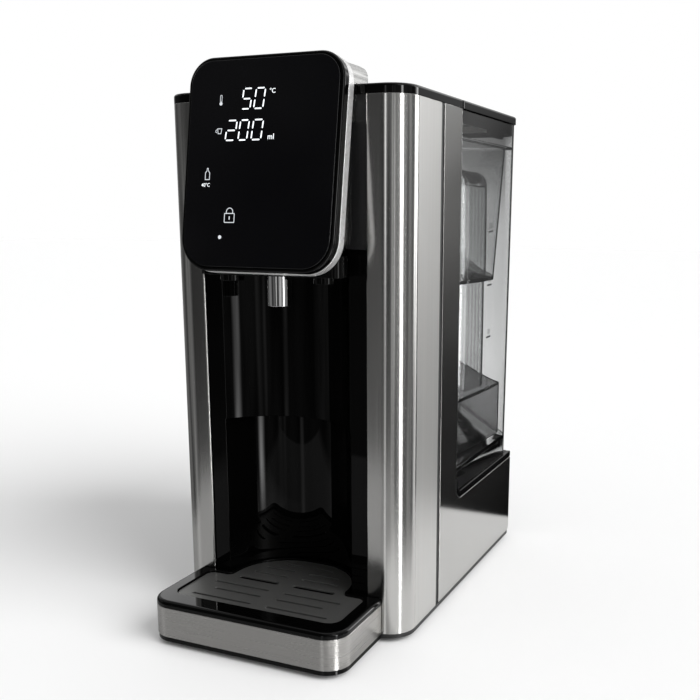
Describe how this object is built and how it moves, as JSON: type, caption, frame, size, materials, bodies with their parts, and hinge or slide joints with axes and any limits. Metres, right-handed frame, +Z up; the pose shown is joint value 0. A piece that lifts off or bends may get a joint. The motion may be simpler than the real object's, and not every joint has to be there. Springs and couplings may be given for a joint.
{
  "type": "countertop water dispenser",
  "caption": "Slim steel countertop hot water dispenser: tilted black touch display over a cup recess, slotted drip tray in front and a clear lift-off water tank at the rear.",
  "frame": {"origin": "on the worktop, in the middle of the machine's footprint, drip tray included", "axes": "+X to the user's right as they face the machine, +Y to the rear, towards the tank, +Z up"},
  "size_m": [0.158, 0.268, 0.3392],
  "materials": {
    "brushed_steel": "vertical brushed grain",
    "side_steel": "fine satin, near mirror",
    "head_steel": "satin",
    "grate_steel": "satin",
    "gloss_black": "gloss",
    "matte_black": "fine texture",
    "frame_grey": "moulded",
    "display_glass": "polished",
    "clear_plastic": "clear",
    "smoke_plastic": "translucent",
    "chrome": "polished",
    "steel_screws": "plated",
    "rubber_black": "matt",
    "silicone": "matt",
    "heater_metal": "satin",
    "circuit_board": "solder mask",
    "board_parts": "moulded",
    "standoffs": "turned"
  },
  "bodies": {
    "housing": {"base_pan": "matte_black", "base_screws": "steel_screws", "board_parts": "board_parts", "chassis": "frame_grey", "cord_gland": "rubber_black", "display_board": "circuit_board", "display_glass": "display_glass", "display_module": "board_parts", "feet": "rubber_black", "flow_meter": "frame_grey", "head_bezel": "gloss_black", "head_frame": "matte_black", "head_ring": "brushed_steel", "head_screws": "steel_screws", "head_shell": "head_steel", "heater": "heater_metal", "heater_clamps": "steel_screws", "left_front_wrap": "brushed_steel", "left_pillar_core": "matte_black", "left_seam_trim": "matte_black", "left_side_panel": "side_steel", "left_sill_trim": "gloss_black", "nozzle": "chrome", "nozzle_seal": "silicone", "outlet_hose": "silicone", "power_board": "circuit_board", "pump": "frame_grey", "pump_mounts": "rubber_black", "rear_panel": "frame_grey", "rear_screws": "steel_screws", "recess_liner": "gloss_black", "right_front_wrap": "brushed_steel", "right_pillar_core": "matte_black", "right_seam_trim": "matte_black", "right_side_panel": "side_steel", "right_sill_trim": "gloss_black", "seat_seal": "silicone", "standoffs": "standoffs", "suction_hose": "silicone", "supply_hoses": "silicone", "tank_seat": "matte_black", "thermal_cutouts": "heater_metal", "top_cover": "gloss_black", "underside_cover": "matte_black", "valve_stem": "frame_grey"},
    "tank_body": {"tank_shell": "clear_plastic", "tank_insert": "clear_plastic", "filter_cartridge": "smoke_plastic", "drop_tube": "smoke_plastic", "outlet_strainer": "matte_black", "valve_body": "smoke_plastic"},
    "lid_body": {"tank_lid": "gloss_black", "lid_seal": "silicone"},
    "valve_core": {"valve_plunger": "smoke_plastic", "valve_seal": "silicone", "valve_spring": "steel_screws"},
    "tray_body": {"drip_tray": "gloss_black", "tray_band": "brushed_steel", "tray_feet": "rubber_black"},
    "grate_body": {"grate": "grate_steel"}
  },
  "joints": [
    {"name": "tank_lift", "type": "slide", "parent": "housing", "child": "tank_body", "axis": [0, 0, 1], "range_m": [0, 0.26]},
    {"name": "lid_lift", "type": "slide", "parent": "tank_body", "child": "lid_body", "axis": [0, 0, 1], "range_m": [0, 0.06]},
    {"name": "valve_travel", "type": "slide", "parent": "tank_body", "child": "valve_core", "axis": [0, 0, 1], "range_m": [0, 0.0025], "stiffness_N_per_m": 150, "springref_m": -0.004, "deforming": ["valve_spring"]},
    {"name": "tray_slide", "type": "slide", "parent": "housing", "child": "tray_body", "axis": [0, -1, 0], "range_m": [0, 0.11]},
    {"name": "grate_lift", "type": "slide", "parent": "tray_body", "child": "grate_body", "axis": [0, 0, 1], "range_m": [0, 0.03]}
  ]
}
